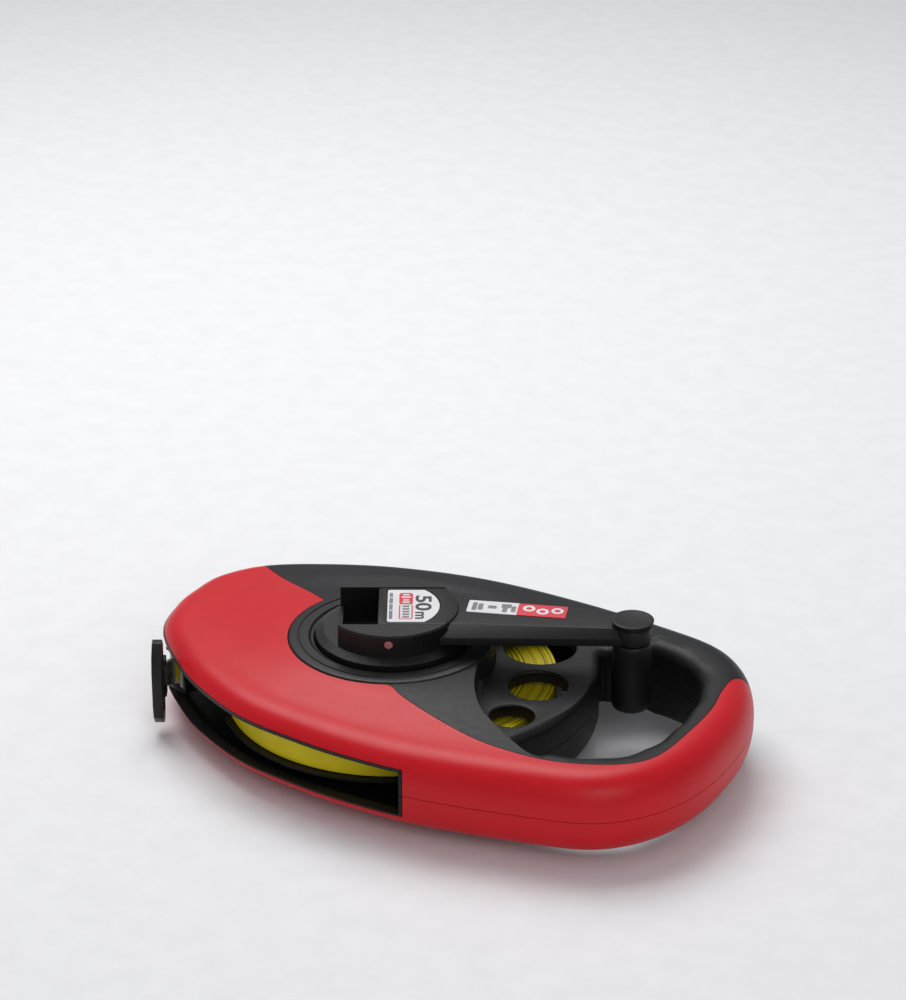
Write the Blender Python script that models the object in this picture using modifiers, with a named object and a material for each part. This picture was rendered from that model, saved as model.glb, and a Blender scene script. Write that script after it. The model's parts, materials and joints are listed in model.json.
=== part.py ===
"""Closed-case 50 m surveyor tape reel: clamshell case, drum, folding crank, tape end and mouth rollers.

The reel lies on its lower hub cover. The origin is where the spindle axis meets the resting face, +X runs
from the spindle to the grip end, and +Z points up towards the crank. Lengths are in metres.
"""
import math

import bmesh
import bpy
from mathutils import Matrix, Vector

MM = 0.001
GAP = 0.3 * MM  # between pieces that touch

# Case
THICKNESS = 54 * MM  # over the two hub covers
MID = THICKNESS / 2  # height of the parting plane
# Plan outline in millimetres, from the mouth end to the grip end; the near side is cut in for the mouth
FAR_SIDE = [(-124.3, 0), (-124.5, 14.5), (-121.3, 35), (-106.3, 56.6), (-79, 73.2), (-40.6, 87.8), (7.6, 96),
            (60.8, 94.2), (111, 87), (140, 79.5), (158, 66), (170, 47), (176.5, 24), (178, 0)]
NEAR_SIDE = [(-119.6, -18.3), (-110.7, -32), (-95.4, -47.8), (-73.6, -65.7), (-40, -83.5), (-4.5, -91.5),
             (26, -94.9), (60.3, -94.6), (111, -87), (140, -79.5), (158, -66), (170, -47), (176.5, -24)]
RIM = 20 * MM  # from the parting plane up to the flat of the rounded edge
EDGE = 16 * MM  # width of the rounded edge in plan
EDGE_POWER = 2.5  # 2 is an ellipse, more is squarer
CROWN = 6.3 * MM  # rise from the edge to the hub
HUB_R = 50.2 * MM
HUB_SEGMENTS = 40
COVER_WALL = 2.2 * MM  # coloured outer covers
CASE_WALL = 2.2 * MM  # black inner case
INNER_FACE = COVER_WALL + GAP + CASE_WALL  # from the outer face to the inside of the case
BELOW, ABOVE = MID - 2 * MM, THICKNESS + 30 * MM  # how far cutters reach

# Window along the front rim, which shows the wound tape
WINDOW_FROM, WINDOW_TO = math.radians(162), math.radians(299.8)
WINDOW_HALF = 12.5 * MM
WINDOW_INNER_R = 76 * MM
BRIM = 1.2 * MM  # how far the black case shows past the cover in the window
WINDOW_TRIM = math.radians(0.17)  # the gap at the window's ends, as an angle

# Hand opening, and the dish with its three drain holes, in millimetres
OPENING_HALF = [(92.5, 51), (98.5, 54.8), (108, 57.4), (121, 56), (135, 49.5), (145, 39), (151, 21),
                (152.5, 0)]
OPENING_INNER_R, OPENING_INNER_REACH = 101 * MM, math.radians(28)
OPENING_FLARE = 6.5 * MM
FLARE_FROM, FLARE_RUN = 98 * MM, 15 * MM  # the flare grows from nothing over this run of x
OPENING_WALL = 2.4 * MM
DISH = [(47, 3), (52.5, -14), (59, -29), (69.5, -43.5), (83, -53), (96, -59.5), (106, -60), (112, -30),
        (112, 30), (98, 58), (78, 66), (56, 62), (42, 45), (40, 24)]
DISH_FLOOR = 42 * MM  # height of the recessed surface
DRAIN_HOLES = [(77.9, -28.3, 10.5), (76.2, 3.9, 14.3), (60.5, 40, 17.5)]  # x, y, radius

# Edge of the black grip panel in the coloured cover, in millimetres
PANEL = [(-20, 5), (10, -42), (23.2, -46), (32, -51), (49, -57.2), (71, -63.8), (88, -67), (112, -67.5),
         (132, -62.5), (149, -53), (158, -39), (161.5, -14), (162.5, 11), (160, 31), (162, 48), (182, 74),
         (120, 130), (0, 140), (-112, 95), (-126, 67), (-106, 54.6), (-89.3, 43.8), (-75.7, 35),
         (-62.8, 27.2), (-47, 18)]

# Case screws, from below into bosses
BOSSES = [(-66, 66), (72, 79), (72, -79), (143, 62), (143, -62), (165, 0)]  # in millimetres
BOSS_R = 3.8 * MM
BOSS_TOP = 42.4 * MM
SCREW_R, SCREW_HEAD_R = 1.5 * MM, 3 * MM
SCREW_SEAT = 12 * MM
SCREW_TOP = 38 * MM

# Drum, wound tape and spindle
PACK_LOW, PACK_HIGH = MID - 6.5 * MM, MID + 6.5 * MM  # 13 mm tape
PACK_R = 80 * MM
CORE_R, CORE_BORE_R = 21 * MM, 8.2 * MM
CORE_LOW, CORE_HIGH = 18.7 * MM, 35 * MM
FLANGE_R, FLANGE_WALL = 83.5 * MM, 1.5 * MM
SPINDLE_R = 5 * MM
SPINDLE_LOW, SPINDLE_HIGH = 4.3 * MM, 47.8 * MM
RUNNING = 0.2 * MM  # clearance round the spindle

# Crank: u runs along the head's channel or the folded arm, v across it, w up from the hub cover's face
HEAD_ANGLE, ARM_ANGLE = math.radians(26.5), math.radians(17.6)
CRANK_R = 116.5 * MM
CRANK_DISC_R = 36.9 * MM
COLLAR_LOW, COLLAR_HIGH = 1.5 * MM, 3.8 * MM  # the sloped top of the disc
HEAD_R, HEAD_TOP = 33 * MM, 15 * MM
HEAD_FLAT = -25.3 * MM
CHANNEL_HALF = 19.6 * MM
WELL_FROM, WELL_TO, WELL_FLOOR = -23.8 * MM, 17 * MM, -1.7 * MM
CHANNEL_FLOOR = 5 * MM
PIVOT_U, PIVOT_W, PIVOT_R = -1 * MM, 10.4 * MM, 2 * MM
TONGUE_END, TONGUE_HALF = -6.5 * MM, 19.2 * MM
ARM_BOTTOM, ARM_TOP, BLADE_TOP = 5.6 * MM, 15 * MM, 13.9 * MM
ARM_SHOULDER = 10 * MM  # where the sloping front of the arm starts
ARM_ROOT_U, ARM_TIP_R = 20 * MM, 9.3 * MM
ARM_BACK = [(20, 17.5), (104, 13)]  # u, v in millimetres
SHOULDER_ROOT, SHOULDER_TIP = 21.3 * MM, 7.2 * MM  # half widths in front, below the slope
SLOPE_ROOT, SLOPE_TIP, SLOPE_BACK = 12.2 * MM, 4.2 * MM, 0.5 * MM  # the same above it
CAP_R, CAP_HIGH = 10.2 * MM, 17 * MM
AXLE_R = 2.4 * MM
GRIP_R, GRIP_HIGH, GRIP_LOW = 9.6 * MM, 5.3 * MM, -30.2 * MM

# Mouth and tape end; q is the distance from the hub to the ring plate, s runs along the plate
MOUTH_OUT = Vector((-0.895, -0.446)).normalized()
MOUTH_ALONG = Vector((-MOUTH_OUT.y, MOUTH_OUT.x))
RING_PIN = MOUTH_OUT * 112.6 * MM - MOUTH_ALONG * 8 * MM
RING_PIN_R, BARREL_R = 1.1 * MM, 2.2 * MM
RING_LOW, RING_HIGH = 6 * MM, 49.5 * MM
RING_NEAR, RING_FAR = 2.8 * MM, 18 * MM  # plate ends, from the pin
RING_OUTER, RING_INNER = -3.5 * MM, 1.3 * MM  # plate faces, from the pin
TAPE_THICK = 0.5 * MM
CLAMP_LENGTH, CLAMP_THICK = 7.5 * MM, 1.8 * MM
ROLLER_R, ROLLER_BACK, ROLLER_OUT = 3 * MM, 11.5 * MM, 3.6 * MM
BRACKET_LOW, BRACKET_HIGH, BRACKET_PLATE = 16.3 * MM, 37.7 * MM, 1.5 * MM

# colour, roughness, metallic
RED_ABS = ((0.52, 0.035, 0.05), 0.4, 0)
BLACK_ABS = ((0.05, 0.05, 0.053), 0.5, 0)
DARK_NYLON = ((0.02, 0.02, 0.021), 0.5, 0)
PALE_NYLON = ((0.7, 0.69, 0.65), 0.5, 0)
TAPE_YELLOW = ((0.6, 0.52, 0.03), 0.5, 0)
LABEL_WHITE = ((0.85, 0.85, 0.85), 0.4, 0)
STEEL = ((0.6, 0.6, 0.62), 0.3, 1)


# ---------------------------------------------------------------- scene and small tools

for old in list(bpy.data.objects):
    bpy.data.objects.remove(old, do_unlink=True)

parts = bpy.data.collections.new("surveyor_tape_reel")
cutters = bpy.data.collections.new("cutters")
cutters.hide_render = True
bpy.context.scene.collection.children.link(parts)
bpy.context.scene.collection.children.link(cutters)


def material(name, look):
    colour, roughness, metallic = look
    made = bpy.data.materials.new(name)
    made.use_nodes = True
    shader = made.node_tree.nodes["Principled BSDF"]
    shader.inputs["Base Color"].default_value = (*colour, 1)
    shader.inputs["Roughness"].default_value = roughness
    shader.inputs["Metallic"].default_value = metallic
    return made


def add(name, mesh, look=None, parent=None):
    """A new object: a part when it has a look, otherwise a cutter."""
    made = bpy.data.objects.new(name, mesh)
    if look:
        parts.objects.link(made)
        mesh.materials.append(material(name, look))
        mesh.shade_smooth()
        mesh.set_sharp_from_angle(angle=math.radians(35))
    else:
        cutters.objects.link(made)
        made.hide_render = True
        made.display_type = "WIRE"
    made.parent = parent
    return made


def mesh_from(name, bm):
    bmesh.ops.recalc_face_normals(bm, faces=bm.faces)
    mesh = bpy.data.meshes.new(name)
    bm.to_mesh(mesh)
    bm.free()
    return mesh


def loft(name, rings, look=None, parent=None):
    """A solid through closed rings of equal point counts, with flat caps. All cells are split the same way."""
    bm = bmesh.new()
    loops = [[bm.verts.new(point) for point in ring] for ring in rings]
    count = len(loops[0])
    for low, high in zip(loops, loops[1:]):
        for i in range(count):
            j = (i + 1) % count
            bm.faces.new((low[i], low[j], high[j]))
            bm.faces.new((low[i], high[j], high[i]))
    bm.faces.new(loops[0])
    bm.faces.new(loops[-1])
    return add(name, mesh_from(name, bm), look, parent)


def prism(name, outline, low, high, look=None, parent=None):
    """A flat outline of (x, y) points extruded from low to high: a filled 2D curve made a mesh."""
    curve = bpy.data.curves.new(name, "CURVE")
    curve.dimensions = "2D"
    curve.fill_mode = "BOTH"
    curve.extrude = (high - low) / 2
    spline = curve.splines.new("POLY")
    spline.points.add(len(outline) - 1)
    for point, (x, y) in zip(spline.points, outline):
        point.co = (x, y, 0, 1)
    spline.use_cyclic_u = True
    guide = bpy.data.objects.new(name + "_outline", curve)
    bpy.context.scene.collection.objects.link(guide)
    bpy.context.view_layer.update()
    evaluated = guide.evaluated_get(bpy.context.evaluated_depsgraph_get())
    flat = bpy.data.meshes.new_from_object(evaluated)
    bm = bmesh.new()
    bm.from_mesh(flat)
    bmesh.ops.remove_doubles(bm, verts=bm.verts, dist=1e-6)
    bmesh.ops.translate(bm, verts=bm.verts, vec=(0, 0, (low + high) / 2))
    bpy.data.objects.remove(guide, do_unlink=True)
    bpy.data.meshes.remove(flat)
    return add(name, mesh_from(name, bm), look, parent)


def cylinder(name, radius, low, high, centre=(0, 0), segments=32, look=None, parent=None):
    bm = bmesh.new()
    bmesh.ops.create_cone(
        bm, cap_ends=True, segments=segments, radius1=radius, radius2=radius, depth=high - low,
        matrix=Matrix.Translation((centre[0], centre[1], (low + high) / 2)),
    )
    return add(name, mesh_from(name, bm), look, parent)


def cross_pin(name, radius, reach, look=None, parent=None, segments=24):
    """A round pin along v, through the crank's pivot."""
    bm = bmesh.new()
    lie_down = Matrix.Translation((PIVOT_U, 0, PIVOT_W)) @ Matrix.Rotation(math.pi / 2, 4, "X")
    bmesh.ops.create_cone(
        bm, cap_ends=True, segments=segments, radius1=radius, radius2=radius, depth=2 * reach, matrix=lie_down
    )
    return add(name, mesh_from(name, bm), look, parent)


def box(name, low, high, look=None, parent=None):
    low, high = Vector(low), Vector(high)
    bm = bmesh.new()
    bmesh.ops.create_cube(
        bm, matrix=Matrix.Translation((low + high) / 2) @ Matrix.Diagonal((*(high - low), 1))
    )
    return add(name, mesh_from(name, bm), look, parent)


def turned(name, profile, segments=40, centre=(0, 0), look=None, parent=None):
    """A profile of (radius, height) points turned about a vertical axis with a Screw modifier."""
    around = profile[1:] + profile[:1]
    area = sum(a[0] * b[1] - b[0] * a[1] for a, b in zip(profile, around))
    ordered = profile if area < 0 else profile[::-1]
    mesh = bpy.data.meshes.new(name)
    pairs = [(i, (i + 1) % len(ordered)) for i in range(len(ordered))]
    edges = [(i, j) for i, j in pairs if ordered[i][0] > 0 or ordered[j][0] > 0]
    mesh.from_pydata([(r, 0, z) for r, z in ordered], edges, [])
    made = add(name, mesh, look, parent)
    made.location = (*centre, 0)
    screw = made.modifiers.new("turn", "SCREW")
    screw.steps = segments
    screw.render_steps = segments
    screw.use_merge_vertices = True
    screw.merge_threshold = 0.00001
    return made


def ring(inner, outer, low, high):
    return [(inner, low), (outer, low), (outer, high), (inner, high)]


def boolean(target, other, operation="DIFFERENCE"):
    modifier = target.modifiers.new(other.name, "BOOLEAN")
    modifier.operation = operation
    modifier.object = other
    modifier.solver = "EXACT"


def empty(name, matrix, parent=None):
    made = bpy.data.objects.new(name, None)
    parts.objects.link(made)
    made.parent = parent
    made.matrix_local = matrix
    return made


def smooth_loop(points, steps):
    """A Catmull-Rom curve through closed points given in millimetres."""
    curve = []
    for i in range(len(points)):
        a, b, c, d = (Vector(points[(i + k) % len(points)]) for k in (-1, 0, 1, 2))
        for k in range(steps):
            t = k / steps
            curve.append(0.5 * MM * (2 * b + (c - a) * t + (2 * a - 5 * b + 4 * c - d) * t**2
                                     + (3 * b - a - 3 * c + d) * t**3))
    return curve


def inward(loop, distance):
    """A clockwise loop moved inwards by a distance, or outwards when it is negative."""
    moved = []
    for before, point, after in zip(loop[-1:] + loop[:-1], loop, loop[1:] + loop[:1]):
        along = (after - before).normalized()
        moved.append(point - distance * Vector((-along.y, along.x)))
    return moved


def grown(points, distance):
    """A counter-clockwise outline of millimetre points, smoothed and moved outwards."""
    return inward(smooth_loop(points, 2), distance)


def at_height(loop, z):
    return [(point.x, point.y, z) for point in loop]


def polar(radius, angle):
    return Vector((radius * math.cos(angle), radius * math.sin(angle)))


def arc(radius, start, end, count, centre=(0, 0)):
    return [Vector(centre) + polar(radius, start + (end - start) * i / (count - 1)) for i in range(count)]


# ---------------------------------------------------------------- case halves and their covers

def case_form(name, inset, steps, base, rows, look=None):
    """The upper half of the outer form, inset all over: a rounded edge, then a crown up to the hub."""
    outline = smooth_loop(FAR_SIDE + NEAR_SIDE[::-1], steps)
    rings = [at_height(inward(outline, inset), base)]
    for row in range(1, rows + 1):
        angle = math.pi / 2 * row / rows
        across = (EDGE - inset) * (1 - max(math.cos(angle), 0) ** (2 / EDGE_POWER))
        up = (RIM - inset) * math.sin(angle) ** (2 / EDGE_POWER)
        rings.append(at_height(inward(outline, inset + across), MID + up))
    edge = inward(outline, EDGE)
    hub = [HUB_R * point.normalized() for point in edge]
    for t in (0.5, 1):
        rise = MID + RIM - inset + CROWN * (3 * t**2 - 2 * t**3)
        rings.append(at_height([point.lerp(target, t) for point, target in zip(edge, hub)], rise))
    return loft(name, rings, look)


def opening_cutter(name, grow, low, high):
    """The hand opening, grown sideways; its mouth is flared so that the grip's edge is round."""
    reach = OPENING_INNER_REACH
    drum_side = [tuple(point / MM) for point in arc(OPENING_INNER_R, -reach, reach, 6)]
    grip_side = OPENING_HALF + [(x, -y) for x, y in OPENING_HALF[-2::-1]]
    outline = smooth_loop(drum_side + grip_side, 2)
    steady = inward(outline, -grow)

    def flared(share):
        spread = inward(outline, -grow - OPENING_FLARE * share)
        shares = [min(max((point.x - FLARE_FROM) / FLARE_RUN, 0), 1) for point in steady]
        return [point.lerp(wide, part) for point, wide, part in zip(steady, spread, shares)]

    rings = [at_height(steady, low)]
    flare_steps, flare_low = 2, MID + 13 * MM
    for step in range(flare_steps + 1):
        angle = math.pi / 2 * step / flare_steps
        rings.append(at_height(flared(1 - math.cos(angle)), flare_low + OPENING_FLARE * math.sin(angle)))
    rings.append(at_height(flared(1.3), high))
    return loft(name, rings)


def window_cutter(name, half, trim=0):
    """The wedge that opens the front rim, round the part of the drum that shows."""
    start, end = WINDOW_FROM + trim, WINDOW_TO - trim
    inner = arc(WINDOW_INNER_R, start, end, 16)
    outer = arc(170 * MM, end, start, 16)
    return prism(name, inner + outer, MID - half, MID + half)


def boss_holes(side):
    """The upper bosses take the screws' threads; the lower ones pass them and hold their heads."""
    for number, (x, y) in enumerate(BOSSES, 1):
        centre = (x * MM, y * MM)
        high = ABOVE if side == "lower" else SCREW_TOP + MM
        yield cylinder(f"{side}_shank_hole_{number}", SCREW_R + GAP, BELOW, high, centre, 10)
        if side == "lower":
            yield cylinder(
                f"head_hole_{number}", SCREW_HEAD_R + 2 * GAP, THICKNESS - SCREW_SEAT, ABOVE, centre, 12
            )


def apply_modifiers(made):
    """Leaves the evaluated mesh on the object, so that it can be mirrored or reused."""
    bpy.context.view_layer.update()
    evaluated = made.evaluated_get(bpy.context.evaluated_depsgraph_get())
    mesh = bpy.data.meshes.new_from_object(evaluated)
    made.modifiers.clear()
    made.data = mesh


def turn_over(made):
    """Mirrors an upper piece in the parting plane."""
    made.data.transform(Matrix.Translation((0, 0, THICKNESS)) @ Matrix.Diagonal((1, 1, -1, 1)))
    made.data.flip_normals()


def build_half(side):
    """One black case half and its red cover. The lower half is built as an upper one, then turned over."""
    cavity = case_form(side + "_cavity", INNER_FACE, 1, BELOW, 3)
    boolean(cavity, opening_cutter(side + "_opening_wall", OPENING_WALL, BELOW - MM, ABOVE))
    boolean(cavity, prism(side + "_dish_wall", grown(DISH, CASE_WALL), DISH_FLOOR - CASE_WALL, ABOVE))

    recess = box(side + "_cover_recess", (-0.2, -0.2, BELOW), (0.25, 0.2, ABOVE))
    boolean(recess, prism(side + "_panel", grown(PANEL, -GAP / 2), BELOW - MM, ABOVE + MM))
    boolean(recess, case_form(side + "_case_face", COVER_WALL + GAP, 2, BELOW - MM, 3))
    boolean(recess, window_cutter(side + "_brim", WINDOW_HALF - GAP, WINDOW_TRIM))

    hub_hole = cylinder(side + "_hub_hole", HUB_R + GAP, BELOW, ABOVE, segments=HUB_SEGMENTS)
    opening = opening_cutter(side + "_opening", 0, BELOW, ABOVE)

    case = case_form(side + "_case", 0, 2, MID + GAP / 2, 4, BLACK_ABS)
    boolean(case, recess)
    boolean(case, cavity)
    for number, (x, y) in enumerate(BOSSES, 1):
        boss = cylinder(f"{side}_boss_{number}", BOSS_R, MID + GAP / 2, BOSS_TOP, (x * MM, y * MM), 10)
        boolean(case, boss, "UNION")
    boolean(case, hub_hole)
    boolean(case, opening)
    boolean(case, prism(side + "_dish", grown(DISH, 0), DISH_FLOOR, ABOVE))
    jamb = BRIM / (100 * MM)
    boolean(case, window_cutter(side + "_case_window", WINDOW_HALF - GAP - BRIM, WINDOW_TRIM + jamb))
    for number, (x, y, radius) in enumerate(DRAIN_HOLES, 1):
        hole = cylinder(f"{side}_drain_hole_{number}", radius * MM, BELOW, ABOVE, (x * MM, y * MM), 20)
        boolean(case, hole)

    cover = case_form(side + "_cover", 0, 2, MID + GAP / 2, 4, RED_ABS)
    boolean(cover, prism(side + "_panel_gap", grown(PANEL, GAP / 2), BELOW, ABOVE))
    boolean(cover, case_form(side + "_cover_inside", COVER_WALL, 2, BELOW, 3))
    boolean(cover, hub_hole)
    boolean(cover, window_cutter(side + "_cover_window", WINDOW_HALF))

    for hole in boss_holes(side):
        boolean(case, hole)
        if side == "lower":
            boolean(cover, hole)
    if side == "lower":
        for piece in (case, cover):
            apply_modifiers(piece)
            turn_over(piece)


def build_screws():
    for number, (x, y) in enumerate(BOSSES, 1):
        head_low = SCREW_SEAT - 2.4 * MM
        profile = [(0, head_low), (SCREW_HEAD_R, head_low), (SCREW_HEAD_R, SCREW_SEAT - GAP),
                   (SCREW_R, SCREW_SEAT - GAP), (SCREW_R, SCREW_TOP), (0, SCREW_TOP)]
        turned(f"case_screw_{number}", profile, 12, (x * MM, y * MM), STEEL)


# ---------------------------------------------------------------- hub, drum and wound tape

def build_hub():
    flange_r = HUB_R + 4.5 * MM
    flange_top = DISH_FLOOR - CASE_WALL - GAP
    flange_low = flange_top - 2 * MM
    wall_r = HUB_R - 2.2 * MM
    bore = CRANK_DISC_R + 0.5 * MM
    turned("hub_cover_ring", [
        (bore, THICKNESS - 10 * MM), (wall_r, THICKNESS - 10 * MM), (wall_r, flange_low),
        (flange_r, flange_low), (flange_r, flange_top),
        (HUB_R, flange_top), (HUB_R, THICKNESS - 0.8 * MM), (HUB_R - 0.8 * MM, THICKNESS),
        (bore, THICKNESS),
    ], HUB_SEGMENTS, look=BLACK_ABS)
    boss_r, boss_high = 9.5 * MM, 14 * MM
    turned("lower_hub_cover", [
        (0, 0), (HUB_R - 0.8 * MM, 0), (HUB_R, 0.8 * MM), (HUB_R, THICKNESS - flange_top),
        (flange_r, THICKNESS - flange_top), (flange_r, THICKNESS - flange_low),
        (wall_r, THICKNESS - flange_low), (wall_r, 3.6 * MM), (boss_r, 3.6 * MM), (boss_r, boss_high),
        (SPINDLE_R + RUNNING, boss_high), (SPINDLE_R + RUNNING, 4 * MM), (0, 4 * MM),
    ], HUB_SEGMENTS, look=BLACK_ABS)
    turned("spindle", [
        (0, SPINDLE_LOW), (SPINDLE_R, SPINDLE_LOW), (SPINDLE_R, SPINDLE_HIGH), (0, SPINDLE_HIGH),
    ], 32, look=STEEL)
    washer_bore = SPINDLE_R + RUNNING
    washer_low = boss_high + GAP
    turned("thrust_washer", ring(washer_bore, 9 * MM, washer_low, washer_low + 1.2 * MM), 32, look=PALE_NYLON)
    spring_low = washer_low + 1.2 * MM + GAP
    turned("drag_spring_washer", ring(washer_bore, 9 * MM, spring_low, CORE_LOW - GAP), 32, look=STEEL)


def build_drum():
    flange_high = CORE_LOW + FLANGE_WALL
    core = turned("drum_core", [
        (CORE_BORE_R, CORE_LOW), (FLANGE_R, CORE_LOW), (FLANGE_R, flange_high), (CORE_R, flange_high),
        (CORE_R, CORE_HIGH), (CORE_BORE_R, CORE_HIGH),
    ], HUB_SEGMENTS, look=BLACK_ABS)
    turned("tape_pack", ring(CORE_R + GAP, PACK_R, PACK_LOW, PACK_HIGH), HUB_SEGMENTS, look=TAPE_YELLOW)
    bush = (SPINDLE_R + RUNNING, CORE_BORE_R - GAP)
    turned("lower_bush", ring(*bush, CORE_LOW, MID - GAP / 2), 32, look=PALE_NYLON)
    turned("upper_bush", ring(*bush, MID + GAP / 2, CORE_HIGH), 32, look=PALE_NYLON)
    return core


# ---------------------------------------------------------------- crank

def crank_screw_places():
    return {1: (0, 11.4 * MM), 2: (0, -11.4 * MM)}


def build_crank_head(frame, core):
    """The disc that turns in the hub cover ring, with the cheeks that hold the folding arm."""
    sleeve_r, sleeve_low, disc_low = 14.5 * MM, CORE_HIGH + GAP - THICKNESS, -3.7 * MM
    head = turned("crank_head", [
        (SPINDLE_R + RUNNING, sleeve_low), (sleeve_r, sleeve_low), (sleeve_r, disc_low),
        (CRANK_DISC_R, disc_low), (CRANK_DISC_R, COLLAR_LOW), (HEAD_R, COLLAR_HIGH),
        (HEAD_R, HEAD_TOP - 0.8 * MM), (HEAD_R - 0.8 * MM, HEAD_TOP), (SPINDLE_R + RUNNING, HEAD_TOP),
    ], HUB_SEGMENTS, look=BLACK_ABS, parent=frame)
    beyond = 45 * MM
    cuts = [
        box("crank_channel", (-beyond, -CHANNEL_HALF, CHANNEL_FLOOR), (beyond, CHANNEL_HALF, beyond)),
        box("crank_well", (WELL_FROM, -CHANNEL_HALF, WELL_FLOOR), (WELL_TO, CHANNEL_HALF, beyond)),
        box("crank_flat", (-beyond, -beyond, COLLAR_HIGH), (HEAD_FLAT, beyond, beyond)),
        cylinder("crank_counterbore", 8.6 * MM, SPINDLE_HIGH + 0.4 * MM - THICKNESS, beyond),
        cross_pin("crank_pin_hole", PIVOT_R + GAP, 60 * MM),
    ]
    for number, place in crank_screw_places().items():
        cuts.append(cylinder(f"crank_screw_hole_{number}", 1.7 * MM, -40 * MM, beyond, place, 12))
        cuts.append(cylinder(f"crank_screw_sink_{number}", 2.9 * MM, -4 * MM, beyond, place, 16))
    for cut in cuts:
        cut.parent = frame
        boolean(head, cut)
    for number, place in crank_screw_places().items():
        head_high, low = WELL_FLOOR - 0.4 * MM, CORE_LOW - THICKNESS + 7 * MM
        hole = cylinder(f"core_screw_hole_{number}", 1.7 * MM, low - MM, beyond, place, 12, parent=frame)
        boolean(core, hole)
        profile = [(0, low), (1.4 * MM, low), (1.4 * MM, disc_low), (2.6 * MM, disc_low),
                   (2.6 * MM, head_high), (0, head_high)]
        turned(f"crank_screw_{number}", profile, 12, place, STEEL, frame)
    cross_pin("crank_pivot_pin", PIVOT_R, 32.2 * MM, STEEL, frame)


def build_spindle_screw():
    low = SPINDLE_HIGH + 0.7 * MM
    turned("spindle_washer", [(0, low), (8 * MM, low), (8 * MM, low + MM), (0, low + MM)], 28, look=STEEL)
    screw = cylinder("spindle_screw", 4.6 * MM, low + MM + GAP, THICKNESS - 2 * MM, segments=24, look=STEEL)
    socket = cylinder("spindle_screw_socket", 2.3 * MM, low + 2 * MM, THICKNESS, segments=6)
    boolean(screw, socket)


def arm_outline(root_front, tip_front, trim):
    """The blade's plan, clockwise: the back edge, the rounded tip under the knob cap, then the front edge."""
    back = [Vector((u * MM, v * MM - trim)) for u, v in ARM_BACK]
    tip = arc(ARM_TIP_R - trim, math.radians(70), math.radians(-80), 11, (CRANK_R, 0))
    tip = [Vector((point.x, max(point.y, -tip_front))) for point in tip]
    return [*back, *tip, Vector((ARM_ROOT_U, -root_front))]


def build_arm(head_frame, frame):
    """The folding arm: a tongue that fills the head, then a tapered blade set at an angle to it."""
    corner = math.asin(TONGUE_HALF / (HEAD_R - 0.6 * MM))
    tongue = [Vector((TONGUE_END, TONGUE_HALF)), *arc(HEAD_R - 0.6 * MM, corner, -corner, 9),
              Vector((TONGUE_END, -TONGUE_HALF))]
    arm = loft("crank_arm", [
        at_height(tongue, ARM_BOTTOM), at_height(tongue, ARM_TOP - 0.6 * MM),
        at_height(inward(tongue, 0.6 * MM), ARM_TOP),
    ], BLACK_ABS, head_frame)
    blade_bottom = ARM_BOTTOM + 0.35 * MM
    blade = loft("arm_blade", [
        at_height(arm_outline(SHOULDER_ROOT, SHOULDER_TIP, 0), blade_bottom),
        at_height(arm_outline(SHOULDER_ROOT, SHOULDER_TIP, 0), ARM_SHOULDER),
        at_height(arm_outline(SLOPE_ROOT, SLOPE_TIP, SLOPE_BACK), BLADE_TOP),
    ], parent=frame)
    cheeks = cylinder("arm_cheek_room", HEAD_R + 2 * GAP, 0, 30 * MM, segments=64, parent=head_frame)
    boolean(cheeks, box("arm_channel_room", (-40 * MM, -TONGUE_HALF, -MM), (40 * MM, TONGUE_HALF, 31 * MM),
                        parent=head_frame))
    boolean(blade, cheeks)
    boolean(arm, blade, "UNION")
    boolean(arm, cross_pin("arm_pin_hole", PIVOT_R + GAP, 60 * MM, parent=head_frame))
    tip = (CRANK_R, 0)
    boolean(arm, cylinder("arm_cap_seat", 4.3 * MM, 10.7 * MM, 30 * MM, tip, 24, parent=frame))
    boolean(arm, cylinder("arm_axle_hole", AXLE_R + GAP, 0, 30 * MM, tip, 24, parent=frame))
    plug_r = 4 * MM
    turned("knob_cap", [
        (0, 11 * MM), (plug_r, 11 * MM), (plug_r, BLADE_TOP + GAP), (CAP_R, BLADE_TOP + GAP),
        (CAP_R, CAP_HIGH - 0.5 * MM), (CAP_R - 0.5 * MM, CAP_HIGH), (0, CAP_HIGH),
    ], 32, tip, BLACK_ABS, frame)
    turned("knob_axle", [(0, -28 * MM), (AXLE_R, -28 * MM), (AXLE_R, 10.6 * MM), (0, 10.6 * MM)],
           24, tip, STEEL, frame)
    grip_bore = AXLE_R + RUNNING
    turned("knob_grip", [
        (grip_bore, -27.7 * MM), (5.2 * MM, -27.7 * MM), (5.2 * MM, GRIP_LOW), (GRIP_R - 2 * MM, GRIP_LOW),
        (GRIP_R - 0.6 * MM, GRIP_LOW + 1.4 * MM), (GRIP_R, -12 * MM), (GRIP_R - 0.3 * MM, 2 * MM),
        (GRIP_R - 0.3 * MM, GRIP_HIGH), (grip_bore, GRIP_HIGH),
    ], 32, tip, BLACK_ABS, frame)
    turned("knob_retainer", [(0, -30 * MM), (4.6 * MM, -30 * MM), (4.6 * MM, -28.3 * MM), (0, -28.3 * MM)],
           24, tip, STEEL, frame)
    film = 0.4 * MM
    box("head_label", (-2 * MM, -16.9 * MM, ARM_TOP + GAP), (22 * MM, 16.9 * MM, ARM_TOP + GAP + film),
        LABEL_WHITE, head_frame)
    box("arm_label", (36 * MM, 1.2 * MM, BLADE_TOP + GAP), (84 * MM, 13.2 * MM, BLADE_TOP + GAP + film),
        LABEL_WHITE, frame)


# ---------------------------------------------------------------- mouth rollers, tape end and end ring

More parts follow.
